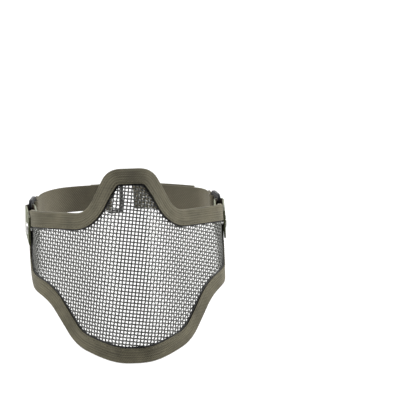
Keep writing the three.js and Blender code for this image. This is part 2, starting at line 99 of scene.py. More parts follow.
# Trim and ribbon folded over the edge: half thicknesses, and reaches in from the edge.
GUARD_INNER = 1.15
GUARD_OUTER = 1.7
GUARD_OUTSIDE = 13
GUARD_INSIDE = 10.5
BINDING_INNER = 2.0
BINDING_OUTER = 2.7
BINDING_OUTSIDE = 12
BINDING_INSIDE = 8
BINDING_BEAD = 0.12
BINDING_RIPPLE = 0.22
RIPPLE_FROM = 2.3                # only cloth farther than this from the wires' middle is puckered
PUCKER_LENGTH = 7.3              # the puckers' two wavelengths, over 2 pi, and their slow drift
PUCKER_SWELL = 17.9
PUCKER_DRIFT = 31
BEAD_WIDTH = 0.9
FOLD_TUCK = 0.8                  # how far the fold at the edge is flattened
HEM_STEP = 0.12                  # softened corner at the end of a folded layer

# Tabs and rivets.
GAP = 0.3
WEBBING_WIDTH = 25
TAB_TILT = math.radians(16)
RIVET_ALONG = 128.5
RIVET_CLEAR = 3.4
TAB_CENTRE = 3.9
TAB_THICKNESS = 1.6
TAB_FRONT = 11
TAB_BIGHT = 31
EYELET_BORE = 2.4
EYELET_BARREL = 3.0
EYELET_FLANGE = 5.6
EYELET_ROLL = 4.4
FLANGE_THICKNESS = 0.8
WASHER_BORE = 3.3
WASHER_THICKNESS = 0.6

# Tri-glides and straps.
HARDWARE_ROUNDING = 0.7
HARDWARE_SHARP = math.radians(40)
TRIGLIDE_INWARD = 16             # degrees
TRIGLIDE_BAR_SPACING = 8.6
STRAP_THICKNESS = 1.6
LOOP_RADIUS = 3.2                # middle of the webbing round a bar
LOOP_NECK = 4.2                  # where a loop starts to close, from the middle of the bar
LOOP_NECK_OFFSET = 2.3
LOOP_CLOSED = 9                  # where both layers lie together
LOOP_ARC_START = 70              # degrees
LOOP_ARC_STEP = 22
FLAP_LENGTH = 17
LAYER_OFFSET = 1.05
LEFT_STRAP_RUN = 47
LEFT_STRAP_TURN = 62             # degrees, as are the other turns
LEFT_STRAP_END = 20
LEFT_END_TURN = 5
RIGHT_STRAP_RUN = 17
RIGHT_STRAP_TURN = 46
TAIL_LENGTH = 58
TAIL_RUN = 62
TAIL_TURN = 14
TAIL_FOLD_RADIUS = 2.6
FOLD_SLIT = 9                    # half of the slit between strap and tail, degrees
PATCH_START = 4
PATCH_END = 54
PATCH_WIDTH = 23
PATCH_THICKNESS = 0.95
PATCH_MIDDLE = 0.45              # middle of a patch, above the gap over the webbing

# Thread.
STITCH_OUTSIDE = 10.2            # rows of stitches through the ribbon, in from the edge
STITCH_INSIDE = 6.6
STITCH_HEIGHT = 2.92
THREAD_ARCH = 0.22
THREAD_SINK = 0.12               # ends of a stitch below its middle line
THREAD_OUT = 0.15                # middle of a tack's thread above the cloth
TACK_INSET = 5
NO_STITCH_RADIUS = 17.5          # the binding has no stitches under the turning tab


# ---------------------------------------------------------------- the formed face
def smooth_step(value):
    part = np.clip(value, 0, 1)
    return part * part * (3 - 2 * part)


plan_middles = (np.arange(PLAN_REACH / PLAN_STEP) + 0.5) * PLAN_STEP
plan_headings = CHEEK_HEADING * smooth_step(plan_middles / CHEEK_TURN)
plan_headings += SIDE_TURN * smooth_step((plan_middles - SIDE_START) / (SIDE_END - SIDE_START))
plan_headings += SLOW_TURN * plan_middles
plan_along = np.arange(len(plan_middles) + 1) * PLAN_STEP
plan_across = np.concatenate([[0], np.cumsum(np.cos(plan_headings))]) * PLAN_STEP
plan_back = np.concatenate([[0], np.cumsum(np.sin(plan_headings))]) * PLAN_STEP


def face_point(along, height):
    """Point of the formed face, from distance along the face and height."""
    along = np.asarray(along, float)
    height = np.asarray(height, float)
    across = np.sign(along) * np.interp(np.abs(along), plan_along, plan_across)
    back = np.interp(np.abs(along), plan_along, plan_back)
    fade = np.where(height > 0, height / RIDGE_FADE_TOP, height / RIDGE_FADE_CHIN)
    ridge = RIDGE_HEIGHT * np.exp(-fade ** 2) / (1 + (along / RIDGE_HALF_WIDTH) ** 4)
    chin = np.maximum(0, CHIN_START - height)
    bridge = np.maximum(0, height - BRIDGE_START)
    setback = (CHIN_CURVE * chin ** 2 + BRIDGE_CURVE * bridge ** 2)
    setback = setback * np.exp(-(along / SETBACK_HALF_WIDTH) ** 2)
    return np.stack([across, back - FACE_FRONT - ridge + setback, height + 0 * along], -1)


def face_normal(along, height):
    across = face_point(along + 1, height) - face_point(along - 1, height)
    upward = face_point(along, height + 1) - face_point(along, height - 1)
    normal = np.cross(across, upward)
    return normal / np.linalg.norm(normal, axis=-1, keepdims=True)


def off_face(along, height, out):
    out = np.asarray(out, float)
    return face_point(along, height) + face_normal(along, height) * out[..., None]


# ---------------------------------------------------------------- the edge outline
def rounded_outline(corners, fine=12):
    """Straight runs joined by quadratic corners, as a dense closed line."""
    points = []
    count = len(corners)
    for index, (x, y, size) in enumerate(corners):
        corner = np.array([x, y], float)
        before = np.array(corners[index - 1][:2], float) - corner
        after = np.array(corners[(index + 1) % count][:2], float) - corner
        start = corner + before / np.linalg.norm(before) * size
        end = corner + after / np.linalg.norm(after) * size
        for step in range(fine + 1):
            part = step / fine
            points.append((1 - part) ** 2 * start + 2 * part * (1 - part) * corner + part ** 2 * end)
    return np.array(points)


def evenly(points, count):
    """The closed line walked into evenly spaced stations."""
    loop = np.vstack([points, points[:1]])
    travelled = np.concatenate([[0], np.cumsum(np.linalg.norm(np.diff(loop, axis=0), axis=1))])
    wanted = np.arange(count) / count * travelled[-1]
    spots = np.stack([np.interp(wanted, travelled, loop[:, axis]) for axis in range(2)], -1)
    return spots, travelled[-1]


outline_left = [(-x, y, size) for x, y, size in reversed(OUTLINE_RIGHT)]
stations, edge_length = evenly(rounded_outline(OUTLINE_RIGHT + outline_left), EDGE_STATIONS)
tangents = np.roll(stations, -3, axis=0) - np.roll(stations, 3, axis=0)
tangents /= np.linalg.norm(tangents, axis=1, keepdims=True)
inward = np.stack([tangents[:, 1], -tangents[:, 0]], -1)


# ---------------------------------------------------------------- mesh making
def make_piece(name, points, faces, materials, corner_uvs=None, face_slots=None, sharp=40):
    """A closed mesh from points in millimetres, with UVs in millimetres along and across."""
    mesh = bpy.data.meshes.new(name)
    mesh.from_pydata((np.asarray(points) * MM).tolist(), [], [list(map(int, face)) for face in faces])
    if corner_uvs is not None:
        layer = mesh.uv_layers.new(name="cloth")
        layer.data.foreach_set("uv", np.asarray(corner_uvs, float).ravel())
    for entry in materials:
        mesh.materials.append(entry)
    if face_slots is not None:
        mesh.polygons.foreach_set("material_index", list(face_slots))
    mesh.update()
    work = bmesh.new()
    work.from_mesh(mesh)
    bmesh.ops.recalc_face_normals(work, faces=work.faces)
    work.to_mesh(mesh)
    work.free()
    mesh.shade_smooth()
    mesh.set_sharp_from_angle(angle=math.radians(sharp))
    piece = bpy.data.objects.new(name, mesh)
    bpy.context.scene.collection.objects.link(piece)
    return piece


def sweep_faces(sections, along, across, closed):
    """Faces and corner UVs of equal sections joined in a row. across has one value more than a section."""
    rows, size = sections.shape[:2]
    faces = []
    uvs = []
    spans = rows if closed else rows - 1
    for span in range(spans):
        here = span * size
        following = ((span + 1) % rows) * size
        for side in range(size):
            other = (side + 1) % size
            faces.append((here + side, here + other, following + other, following + side))
            uvs += [
                (along[span], across[side]),
                (along[span], across[side + 1]),
                (along[span + 1], across[side + 1]),
                (along[span + 1], across[side]),
            ]
    if not closed:
        for start, order in ((0, 1), ((rows - 1) * size, -1)):
            ring = [start + side for side in range(size)][::order]
            faces.append(tuple(ring))
            uvs += [(along[0 if start == 0 else -1], across[vertex - start]) for vertex in ring]
    return faces, uvs


def sweep_piece(name, sections, materials, closed, slots=None):
    """slots gives the material of each side of the section."""
    middle = sections.mean(axis=1)
    steps = np.linalg.norm(np.diff(np.vstack([middle, middle[:1]]), axis=0), axis=1)
    along = np.concatenate([[0], np.cumsum(steps)])
    ring = np.vstack([sections[0], sections[0][:1]])
    across = np.concatenate([[0], np.cumsum(np.linalg.norm(np.diff(ring, axis=0), axis=1))])
    faces, uvs = sweep_faces(sections, along, across, closed)
    face_slots = None
    if slots is not None:
        rows = len(sections) if closed else len(sections) - 1
        face_slots = list(slots) * rows + ([] if closed else [0, 0])
    return make_piece(name, sections.reshape(-1, 3), faces, materials, uvs, face_slots)


def tubes(lines, normals, radius, sides):
    """Points and faces of many round wires. Each line has a matching run of normals."""
    points = []
    faces = []
    base = 0
    turn = np.arange(sides) / sides * 2 * math.pi
    for line, normal in zip(lines, normals):
        tangent = np.gradient(line, axis=0)
        tangent /= np.linalg.norm(tangent, axis=1, keepdims=True)
        side = np.cross(tangent, normal)
        side /= np.linalg.norm(side, axis=1, keepdims=True)
        up = np.cross(side, tangent)
        ring = (line[:, None, :]
                + radius * np.cos(turn)[None, :, None] * up[:, None, :]
                + radius * np.sin(turn)[None, :, None] * side[:, None, :])
        points.append(ring.reshape(-1, 3))
        for row in range(len(line) - 1):
            here = base + row * sides
            for k in range(sides):
                other = (k + 1) % sides
                faces.append((here + k, here + other, here + sides + other, here + sides + k))
        faces.append(tuple(base + k for k in reversed(range(sides))))
        faces.append(tuple(base + (len(line) - 1) * sides + k for k in range(sides)))
        base += len(line) * sides
    return np.vstack(points), faces


def bore(piece, centre, axis, radius, reach=20):
    """Cuts a round hole through a piece."""
    mesh = bpy.data.meshes.new("cutter")
    work = bmesh.new()
    bmesh.ops.create_cone(work, cap_ends=True, segments=40, radius1=radius * MM, radius2=radius * MM,
                          depth=2 * reach * MM)
    work.to_mesh(mesh)
    work.free()
    cutter = bpy.data.objects.new("cutter", mesh)
    bpy.context.scene.collection.objects.link(cutter)
    turn = Vector((0, 0, 1)).rotation_difference(Vector(axis)).to_matrix().to_4x4()
    cutter.matrix_world = Matrix.Translation(Vector(centre) * MM) @ turn
    modifier = piece.modifiers.new("bore", "BOOLEAN")
    modifier.operation = "DIFFERENCE"
    modifier.solver = "EXACT"
    modifier.object = cutter
    bpy.context.view_layer.update()
    cut = bpy.data.meshes.new_from_object(piece.evaluated_get(bpy.context.evaluated_depsgraph_get()))
    piece.modifiers.clear()
    piece.data = cut
    bpy.data.objects.remove(cutter)


# ---------------------------------------------------------------- materials
class Finish:
    """A node material with short helpers for building its pattern."""

    def __init__(self, name, roughness, metallic=0.0, sheen=0.0, specular=0.5):
        self.material = bpy.data.materials.new(name)
        self.material.use_nodes = True
        self.tree = self.material.node_tree
        self.shader = self.tree.nodes["Principled BSDF"]
        self.shader.inputs["Roughness"].default_value = roughness
        self.shader.inputs["Metallic"].default_value = metallic
        self.shader.inputs["Sheen Weight"].default_value = sheen
        self.shader.inputs["Specular IOR Level"].default_value = specular
        coordinates = self.tree.nodes.new("ShaderNodeTexCoord")
        self.solid = coordinates.outputs["Object"]
        split = self.tree.nodes.new("ShaderNodeSeparateXYZ")
        self.tree.links.new(coordinates.outputs["UV"], split.inputs[0])
        self.along = split.outputs["X"]
        self.across = split.outputs["Y"]

    def put(self, value, socket):
        if isinstance(value, bpy.types.NodeSocket):
            self.tree.links.new(value, socket)
        else:
            socket.default_value = value

    def math(self, operation, first, second=0.0):
        node = self.tree.nodes.new("ShaderNodeMath")
        node.operation = operation
        self.put(first, node.inputs[0])
        self.put(second, node.inputs[1])
        return node.outputs[0]

    def noise(self, scale, detail=3.0, roughness=0.55):
        node = self.tree.nodes.new("ShaderNodeTexNoise")
        self.tree.links.new(self.solid, node.inputs["Vector"])
        node.inputs["Scale"].default_value = scale
        node.inputs["Detail"].default_value = detail
        node.inputs["Roughness"].default_value = roughness
        return node.outputs["Fac"]

    def streaks(self, length, width, detail=3.0):
        """Noise drawn out along the cloth."""
        stretch = self.tree.nodes.new("ShaderNodeCombineXYZ")
        self.put(self.math("DIVIDE", self.along, length), stretch.inputs["X"])
        self.put(self.math("DIVIDE", self.across, width), stretch.inputs["Y"])
        node = self.tree.nodes.new("ShaderNodeTexNoise")
        self.tree.links.new(stretch.outputs[0], node.inputs["Vector"])
        node.inputs["Scale"].default_value = 1.0
        node.inputs["Detail"].default_value = detail
        return node.outputs["Fac"]

    def ramp(self, value, stops):
        node = self.tree.nodes.new("ShaderNodeValToRGB")
        self.tree.links.new(value, node.inputs["Fac"])
        while len(node.color_ramp.elements) < len(stops):
            node.color_ramp.elements.new(0.5)
        for element, (position, color) in zip(node.color_ramp.elements, stops):
            element.position = position
            element.color = (*color, 1)
        return node.outputs["Color"]

    def mix(self, factor, first, second, blend="MIX"):
        node = self.tree.nodes.new("ShaderNodeMix")
        node.data_type = "RGBA"
        node.blend_type = blend
        self.put(factor, node.inputs["Factor"])
        for value, key in ((first, "A"), (second, "B")):
            sockets = [entry for entry in node.inputs if entry.name == key and entry.type == "RGBA"]
            self.put(value if isinstance(value, bpy.types.NodeSocket) else (*value, 1), sockets[0])
        return [entry for entry in node.outputs if entry.type == "RGBA"][0]

    def wave(self, value, pitch, offset=0.0):
        """Rises from 0 to 1 and back once each pitch."""
        turned = self.math("ADD", self.math("MULTIPLY", value, math.pi / pitch), offset)
        return self.math("ABSOLUTE", self.math("SINE", turned))

    def bump(self, height, distance, strength=1.0):
        node = self.tree.nodes.new("ShaderNodeBump")
        node.inputs["Distance"].default_value = distance * MM
        node.inputs["Strength"].default_value = strength
        self.put(height, node.inputs["Height"])
        self.tree.links.new(node.outputs[0], self.shader.inputs["Normal"])

    def color(self, value):
        self.put(value, self.shader.inputs["Base Color"])

    def roughness(self, marks, amount, least):
        uneven = self.math("ADD", self.math("MULTIPLY", marks, amount), least)
        self.put(uneven, self.shader.inputs["Roughness"])


def shades(base, low, high):
    """A darker and a lighter version of a colour."""
    return tuple(part * low for part in base), tuple(part * high for part in base)


def woven(name, base, along_pitch, across_pitch, depth, sheen=0.06, wear=0.12):
    """Webbing or ribbon: threads over and under in alternate rows, with painted shade where they dip under,
    and worn and faded patches.
    """
    finish = Finish(name, 0.92, sheen=sheen, specular=0.25)
    row = finish.math("FLOOR", finish.math("DIVIDE", finish.across, across_pitch))
    shift = finish.math("MULTIPLY", row, math.pi / 2)
    picks = finish.wave(finish.along, along_pitch, shift)
    ends = finish.wave(finish.across, across_pitch)
    height = finish.math("MULTIPLY", finish.math("POWER", picks, 0.6), finish.math("POWER", ends, 0.5))
    dark, light = shades(base, 0.55, 1.18)
    # Colour follows the weave's height: lighter where threads ride over and darker where they dip under,
    # which is painted light and shade on the threads.
    cloth = finish.ramp(height, [(0.0, dark), (0.75, light)])
    fade = finish.noise(55, 5)
    faded = finish.ramp(fade, [(0.35, (1 - wear,) * 3), (0.7, (1 + wear,) * 3)])
    finish.color(finish.mix(1.0, cloth, faded, "MULTIPLY"))
    fuzz = finish.noise(2600, 2)
    finish.bump(finish.math("ADD", height, finish.math("MULTIPLY", fuzz, 0.35)), depth)
    return finish.material


def ribbed(name, base, rib, depth):
    """Binding ribbon: ribs and uneven streaks along its length, crossed by fine slanting threads, with
    painted shade in the grooves and a painted highlight on the rib tops.
    """
    finish = Finish(name, 0.9, sheen=0.06, specular=0.2)
    ribs = finish.wave(finish.across, rib)
    slant = finish.math("ADD", finish.along, finish.math("MULTIPLY", finish.across, 0.5))
    threads = finish.wave(slant, rib * 0.62)
    uneven = finish.streaks(26, 1.1)
    worn_ribs = finish.math("MULTIPLY", ribs, finish.math("MULTIPLY", finish.noise(38, 3), 0.42))
    height = finish.math("ADD", worn_ribs, finish.math("MULTIPLY", threads, 0.28))
    height = finish.math("ADD", height, finish.math("MULTIPLY", uneven, 0.6))
    dark, light = shades(base, 0.4, 1.5)
    # Colour follows the height: painted shade in the grooves between ribs and threads, and painted highlight
    # on their tops. The streaks and worn ribs in it are the ribbon's own uneven tone.
    cloth = finish.ramp(height, [(0.28, dark), (0.76, light)])
    patches = finish.ramp(finish.noise(60, 6), [(0.3, (0.72,) * 3), (0.72, (1.22,) * 3)])
    finish.color(finish.mix(1.0, cloth, patches, "MULTIPLY"))
    finish.bump(finish.math("ADD", height, finish.math("MULTIPLY", finish.noise(2400, 2), 0.3)), depth)
    return finish.material


def napped(name, base, painted_tip_highlight, scale=1500):
    """Brushed hook-and-loop face: a fuzzy pile, with painted shade down in it and a painted highlight on its
    lighter tips.
    """
    finish = Finish(name, 0.97, sheen=0.25, specular=0.1)
    pile = finish.noise(scale, 6, 0.7)
    patches = finish.noise(120, 4)
    dark, light = shades(base, 0.6, 1.15)
    # The pile's random tone runs from painted shade down in it to the painted highlight on its tips.
    cloth = finish.ramp(pile, [(0.3, dark), (0.55, light), (0.78, painted_tip_highlight)])
    worn = finish.ramp(patches, [(0.3, (0.82,) * 3), (0.7, (1.15,) * 3)])
    finish.color(finish.mix(1.0, cloth, worn, "MULTIPLY"))
    finish.bump(pile, 0.5)
    return finish.material


def painted_wire():
    finish = Finish("painted_wire", 0.42, metallic=0.35)
    worn = finish.noise(900, 4)
    tone = finish.noise(40, 4)
    paint = finish.ramp(tone, [(0.3, (0.060, 0.061, 0.055)), (0.7, (0.095, 0.096, 0.088))])
    rubbed = finish.ramp(worn, [(0.62, (0, 0, 0)), (0.75, (0.5, 0.5, 0.5))])
    finish.color(finish.mix(rubbed, paint, (0.16, 0.16, 0.15)))
    finish.roughness(worn, 0.25, 0.32)
    finish.bump(worn, 0.06)
    return finish.material


def moulded(name, base, roughness, grain=1800):
    finish = Finish(name, roughness)
    marks = finish.noise(grain, 4)
    dark, light = shades(base, 0.8, 1.5)
    finish.color(finish.ramp(finish.noise(90, 5), [(0.3, dark), (0.75, light)]))
    finish.roughness(marks, 0.22, roughness - 0.1)
    finish.bump(marks, 0.05)
    return finish.material


def plated():
    finish = Finish("plated_metal", 0.28, metallic=1.0)
    marks = finish.noise(700, 5)
    finish.color(finish.ramp(marks, [(0.3, (0.50, 0.50, 0.48)), (0.7, (0.74, 0.74, 0.72))]))
    finish.roughness(marks, 0.25, 0.18)
    finish.bump(marks, 0.04)
    return finish.material


OLIVE = (0.063, 0.057, 0.037)
KHAKI = (0.070, 0.062, 0.041)
GREEN = (0.066, 0.071, 0.036)
WIRE_FINISH = painted_wire()
TRIM_FINISH = moulded("black_trim", (0.012, 0.012, 0.011), 0.6)
RIBBON_FINISH = ribbed("olive_ribbon", OLIVE, 2.3, 0.4)
WEBBING_FINISH = woven("khaki_webbing", KHAKI, 2.1, 1.35, 0.22)
# The last colour given to each napped finish is the painted highlight on its pile tips.
TAPE_FINISH = napped("green_tape", GREEN, (0.21, 0.22, 0.13))
TAPE_BACK_FINISH = woven("brown_tape_back", (0.040, 0.026, 0.018), 1.4, 1.0, 0.15)
HOOK_FINISH = napped("dark_hook", (0.026, 0.021, 0.017), (0.06, 0.052, 0.042), 1100)
THREAD_FINISH = woven("sewing_thread", (0.20, 0.18, 0.125), 0.8, 0.5, 0.06)
PLASTIC_FINISH = moulded("black_plastic", (0.014, 0.015, 0.017), 0.38)
METAL_FINISH = plated()

# ---------------------------------------------------------------- woven wire face
def inside_outline(points, polygon):
    x, y = points[:, 0], points[:, 1]
    inside = np.zeros(len(points), bool)
    previous = polygon[-1]
    for corner in polygon:
        crosses = (corner[1] > y) != (previous[1] > y)
        slope = (previous[0] - corner[0]) / (previous[1] - corner[1] + 1e-12)
        inside ^= crosses & (x < slope * (y - corner[1]) + corner[0])
        previous = corner
    return inside


wire_limit = stations[::2] + inward[::2] * WIRE_INSET
row_way = np.array([math.cos(WEAVE_TURN), math.sin(WEAVE_TURN)])
upright_way = np.array([-math.sin(WEAVE_TURN), math.cos(WEAVE_TURN)])


def woven_wires(name, way, step_way, over):
    """One set of parallel wires, each passing over and under the other set in turn."""
    lines = []
    normals = []
    wires = int(WIRE_REACH / WIRE_PITCH)
    samples = np.arange(-WIRE_REACH, WIRE_REACH, WIRE_PITCH / SAMPLES_PER_PITCH)
    samples -= samples[len(samples) // 2]
    for wire in range(-wires, wires + 1):
        flat = samples[:, None] * way + wire * WIRE_PITCH * step_way
        keep = inside_outline(flat, wire_limit)
        for side in (-1, 1):
            gap = np.linalg.norm(flat - np.array([side * RIVET_ALONG, 0]), axis=1)
            keep &= gap > RIVET_CLEAR
        edges = np.flatnonzero(np.diff(np.concatenate([[0], keep.astype(int), [0]])))
        for start, stop in zip(edges[::2], edges[1::2]):
            if stop - start < SAMPLES_PER_PITCH:
                continue
            run = flat[start:stop]
            lift = WEAVE_LIFT * np.cos(math.pi * (samples[start:stop] / WIRE_PITCH + wire)) * over
            lines.append(off_face(run[:, 0], run[:, 1], lift))
            normals.append(face_normal(run[:, 0], run[:, 1]))
    points, faces = tubes(lines, normals, WIRE_RADIUS, WIRE_SIDES)
    piece = make_piece(name, points, faces, [WIRE_FINISH], sharp=60)
    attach(piece, "mask")
    return piece


cross_wires = woven_wires("cross_wires", row_way, upright_way, 1)
upright_wires = woven_wires("upright_wires", upright_way, row_way, -1)
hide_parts("face_mesh")
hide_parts("face_mesh")


# ---------------------------------------------------------------- edge guard and binding ribbon
def wrap_profile(inner, outer, reach_outside, reach_inside, steps=9, bead=0.0):
    """Section of a layer folded over the edge: distance in from the edge, and height off the face."""
    lip = inner - FOLD_TUCK
    wall = outer - inner
    turn = np.linspace(0, math.pi, 11)[1:-1]
    outside = np.linspace(reach_outside, 0, steps)
    inside = np.linspace(0, reach_inside, steps)
    outside_hem = np.where(outside == reach_outside, outside - HEM_STEP, outside)
    inside_hem = np.where(inside == reach_inside, inside - HEM_STEP, inside)
    beads = bead * np.exp(-((outside - reach_outside) / BEAD_WIDTH) ** 2)
    profile = [(reach_outside, (inner + outer) / 2)]
    profile += [(d, outer + rise) for d, rise in zip(outside_hem, beads)]
    profile += [(-(lip + wall) * math.sin(a), outer * math.cos(a)) for a in turn]
    profile += [(d, -outer) for d in inside_hem]
    profile += [(reach_inside, -(inner + outer) / 2)]
    profile += [(d, -inner) for d in inside_hem[::-1]]
    profile += [(-lip * math.sin(a), -inner * math.cos(a)) for a in turn]
    profile += [(d, inner) for d in outside_hem[::-1]]
    return np.array(profile)


def edge_layer(name, profile, material, ripple=0.0):
    """A folded layer swept round the edge, with gentle puckers where it is cloth."""
    count = len(stations)
    distance = profile[:, 0][None, :, None]
    flat = stations[:, None, :] + inward[:, None, :] * distance
    out = np.repeat(profile[:, 1][None, :], count, axis=0)
    if ripple:
        travel = np.arange(count)[:, None] / count * edge_length
        puckers = np.sin(travel / PUCKER_LENGTH + 1.7 * np.sin(travel / PUCKER_DRIFT))
        waves = puckers * np.sin(travel / PUCKER_SWELL + profile[:, 0][None, :] / 4)
        out = out + ripple * (waves + 1) / 2 * np.sign(out) * (np.abs(out) > RIPPLE_FROM)
    sections = off_face(flat[..., 0], flat[..., 1], out)
    return sweep_piece(name, sections, [material], closed=True)


guard_profile = wrap_profile(GUARD_INNER, GUARD_OUTER, GUARD_OUTSIDE, GUARD_INSIDE)
guard = edge_layer("rubber_guard", guard_profile, TRIM_FINISH)
binding_profile = wrap_profile(BINDING_INNER, BINDING_OUTER, BINDING_OUTSIDE, BINDING_INSIDE,
                               bead=BINDING_BEAD)
binding = edge_layer("binding_ribbon", binding_profile, RIBBON_FINISH, ripple=BINDING_RIPPLE)


# ---------------------------------------------------------------- side frames
class Side:
    """Local axes at a rivet: to the rear along the tab, outwards, and up, with the tab's tilt."""

    def __init__(self, name, sign):
        self.name = name
        self.origin = face_point(sign * RIVET_ALONG, 0)
        level = face_point(sign * (RIVET_ALONG + 1), 0) - face_point(sign * (RIVET_ALONG - 1), 0)
        level[2] = 0
        level /= np.linalg.norm(level)
        self.outward = np.array([sign * level[1], -sign * level[0], 0])
        vertical = np.array([0.0, 0.0, 1.0])
        self.rear = level * math.cos(TAB_TILT) + vertical * math.sin(TAB_TILT)
        self.up = vertical * math.cos(TAB_TILT) - level * math.sin(TAB_TILT)

    def place(self, rear, out, up):
        rear, out, up = (np.asarray(value, float)[..., None] for value in (rear, out, up))
        return self.origin + self.rear * rear + self.outward * out + self.up * up


LEFT = Side("left", -1)
RIGHT = Side("right", 1)

for piece, node in ((guard, "edge_guard"), (binding, "edge_binding")):
    for side in (LEFT, RIGHT):
        bore(piece, side.origin, side.outward, RIVET_CLEAR)
    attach(piece, "mask")
    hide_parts(node)


# ---------------------------------------------------------------- paths in the side plane
def heading(degrees):
    return np.array([math.cos(math.radians(degrees)), math.sin(math.radians(degrees))])


def near(origin, degrees, along, out):
    return origin + heading(degrees) * along + heading(degrees + 90) * out


def pen_walk(start, degrees, moves, stride=9, bend=12):
    """The solids' own path: straight runs and arcs given as (length, turn in degrees)."""
    points = [start]
    for length, turn in moves:
        steps = 1 if turn == 0 else math.ceil(max(length / stride, abs(turn) / bend))
        for _ in range(steps):
            degrees += turn / steps / 2
            points.append(points[-1] + heading(degrees) * length / steps)
            degrees += turn / steps / 2
    return points, degrees


def smooth_path(points, fine=5):
    """Catmull-Rom curve through the points."""
    points = [np.asarray(point, float) for point in points]
    ends = [2 * points[0] - points[1]] + points + [2 * points[-1] - points[-2]]
    curve = []
    for index in range(1, len(ends) - 2):
        a, b, c, d = ends[index - 1:index + 3]
        knots = [0.0]
        for first, second in ((a, b), (b, c), (c, d)):
            knots.append(knots[-1] + max(np.linalg.norm(second - first), 1e-6) ** 0.5)
        for step in range(fine):
            t = knots[1] + (knots[2] - knots[1]) * step / fine
            ab = (a * (knots[1] - t) + b * (t - knots[0])) / (knots[1] - knots[0])
            bc = (b * (knots[2] - t) + c * (t - knots[1])) / (knots[2] - knots[1])
            cd = (c * (knots[3] - t) + d * (t - knots[2])) / (knots[3] - knots[2])
            abc = (ab * (knots[2] - t) + bc * (t - knots[0])) / (knots[2] - knots[0])
            bcd = (bc * (knots[3] - t) + cd * (t - knots[1])) / (knots[3] - knots[1])
            curve.append((abc * (knots[2] - t) + bcd * (t - knots[1])) / (knots[2] - knots[1]))
    curve.append(points[-1])
    return np.array(curve)


def band_section(thickness, height, rows=14, rounding=0.35):
    """Rounded section of a band standing on edge: offsets across its thickness and up."""
    half = thickness / 2
    top = height / 2
    levels = np.linspace(-top + rounding, top - rounding, rows)
    outer = [(half, level) for level in levels]
    inner = [(-half, level) for level in levels[::-1]]
    crown = [(half * 0.75, top - rounding * 0.3), (0, top), (-half * 0.75, top - rounding * 0.3)]
    foot = [(-half * 0.75, -top + rounding * 0.3), (0, -top), (half * 0.75, -top + rounding * 0.3)]
    return np.array(outer + crown + inner + foot), rows


def band(name, side, path, thickness, height, materials, flutter=0.0):
    """Webbing along a path in the side plane. The second material, if any, is on its inner face."""
    path = np.asarray(path)
    tangent = np.gradient(path, axis=0)
    tangent /= np.linalg.norm(tangent, axis=1, keepdims=True)
    normal = np.stack([-tangent[:, 1], tangent[:, 0]], -1)
    section, rows = band_section(thickness, height)
    travelled = np.concatenate([[0], np.cumsum(np.linalg.norm(np.diff(path, axis=0), axis=1))])
    out = section[:, 0][None, :]
    up = section[:, 1][None, :] + 0 * travelled[:, None]
    wave = flutter * np.sin(travelled / 13)[:, None] * np.sin(up / 5.5)
    out = out + wave
    rear_of = path[:, 0][:, None] + normal[:, 0][:, None] * out
    out_of = path[:, 1][:, None] + normal[:, 1][:, None] * out
    sections = side.place(rear_of, out_of, up)
    size = len(section)
    slots = [0] * size
    if len(materials) > 1:
        for index in range(rows + 3, 2 * rows + 3):
            slots[index] = 1
    return sweep_piece(name, sections, materials, closed=False, slots=slots)


def declare(piece, body, slot_name, *nodes):
    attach(piece, body)
    if nodes:
        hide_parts(*nodes)


# ---------------------------------------------------------------- thread
def stitches(name, dashes, normals, radius=0.27):
    """Short sewn threads, each a bowed strand between two points."""
    lines = []
    ups = []
    for (start, end), normal in zip(dashes, normals):
        start, end, normal = (np.asarray(value, float) for value in (start, end, normal))
        steps = np.linspace(0, 1, 6)[:, None]
        arch = np.sin(steps * math.pi)
        lines.append(start + (end - start) * steps + normal * (arch * THREAD_ARCH - THREAD_SINK))
        ups.append(np.repeat(normal[None, :], 6, axis=0))
    points, faces = tubes(lines, ups, radius, 6)
    return make_piece(name, points, faces, [THREAD_FINISH], sharp=70)


def binding_stitches(name, distance, out, pitch=3.3, dash=2.5):
    count = int(edge_length / pitch)
    spots = np.linspace(0, len(stations), count, endpoint=False)
    dashes = []
    normals = []
    half = dash / 2 / edge_length * len(stations)
    for spot in spots:
        ends = []
        for place in (spot - half, spot + half):
            index = int(math.floor(place)) % len(stations)
            blend = place - math.floor(place)
            following = (index + 1) % len(stations)
            base = stations[index] * (1 - blend) + stations[following] * blend
            way = inward[index] * (1 - blend) + inward[following] * blend
            ends.append(base + way * distance)
        near_rivet = min(np.linalg.norm(ends[0] - np.array([sign * RIVET_ALONG, 0])) for sign in (-1, 1))
        if near_rivet < NO_STITCH_RADIUS:
            continue
        dashes.append([off_face(end[0], end[1], out) for end in ends])
        normals.append(face_normal(ends[0][0], ends[0][1]) * np.sign(out))
    return stitches(name, dashes, normals, radius=0.22)


for name, distance, out in (
        ("binding_stitch_outside", STITCH_OUTSIDE, STITCH_HEIGHT),
        ("binding_stitch_inside", STITCH_INSIDE, -STITCH_HEIGHT)):
    row = binding_stitches(name, distance, out)
    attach(row, "mask")


def bar_tack(name, side, centre_of, body, node, height=20.5, pitch=1.0, width=2.6):
    """Zigzag of thread across a flap. centre_of gives the plane point for a distance along the tack."""
    rungs = int(height / pitch)
    dashes = []
    normals = []
    for rung in range(rungs):
        low = -height / 2 + rung * pitch
        swing = 0 if rung % 2 else width
        start = centre_of(width - swing)
        end = centre_of(swing)
        first = side.place(start[0], start[1], low)
        second = side.place(end[0], end[1], low + pitch)
        dashes.append((first, second))
        normals.append(side.outward)
    row = stitches(name, dashes, normals, radius=0.24)
    declare(row, body, "thread", node)
    return row


# ---------------------------------------------------------------- tabs, eyelets and tri-glides
FRONT_BAR = np.array([TAB_BIGHT, 0.0])
REAR_BAR = near(FRONT_BAR, -TRIGLIDE_INWARD, 2 * TRIGLIDE_BAR_SPACING, 0)
LEAF_FACE = TAB_CENTRE + TAB_THICKNESS / 2 + GAP
FLANGE_FACE = LEAF_FACE + FLANGE_THICKNESS
WASHER_BACK = -LEAF_FACE - WASHER_THICKNESS
ROLL_FACE = WASHER_BACK - GAP

